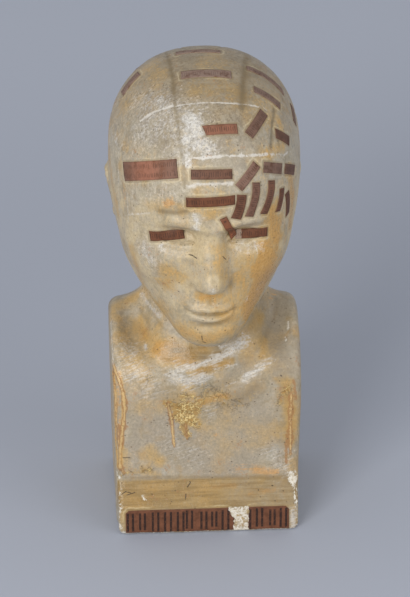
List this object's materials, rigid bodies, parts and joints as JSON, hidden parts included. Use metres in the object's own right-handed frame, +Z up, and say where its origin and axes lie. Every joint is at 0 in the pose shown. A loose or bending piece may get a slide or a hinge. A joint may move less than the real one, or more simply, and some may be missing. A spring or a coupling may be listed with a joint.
{
  "type": "phrenology head",
  "caption": "Plaster bust with a mapped skull on a square block with a splayed plinth, small printed paper labels glued over the head.",
  "frame": {"origin": "middle of the flat underside of the block", "axes": "+Z up through the crown, -Y the way the face looks, +X towards the figure's left side"},
  "size_m": [0.1076, 0.1302, 0.2661],
  "materials": {
    "plaster": "matte",
    "label_paper": "matte"
  },
  "bodies": {
    "root": {"bust": "plaster", "label_back_left": "label_paper", "label_back_middle": "label_paper", "label_back_right": "label_paper", "label_brow_1": "label_paper", "label_brow_2": "label_paper", "label_brow_3": "label_paper", "label_brow_4": "label_paper", "label_brow_5": "label_paper", "label_brow_outer": "label_paper", "label_brow_slant": "label_paper", "label_brow_upper": "label_paper", "label_crown_back": "label_paper", "label_crown_front": "label_paper", "label_forehead_low": "label_paper", "label_forehead_middle": "label_paper", "label_forehead_slant": "label_paper", "label_forehead_top": "label_paper", "label_left_back_high": "label_paper", "label_left_crown_long": "label_paper", "label_left_crown_short": "label_paper", "label_left_eye": "label_paper", "label_left_forehead": "label_paper", "label_left_side": "label_paper", "label_left_temple_back": "label_paper", "label_nape": "label_paper", "label_nose_side": "label_paper", "label_right_back_high": "label_paper", "label_right_crown": "label_paper", "label_right_eye": "label_paper", "label_right_forehead_wide": "label_paper", "label_right_temple_back": "label_paper", "plate_label_left": "label_paper", "plate_label_right": "label_paper"}
  },
  "joints": []
}
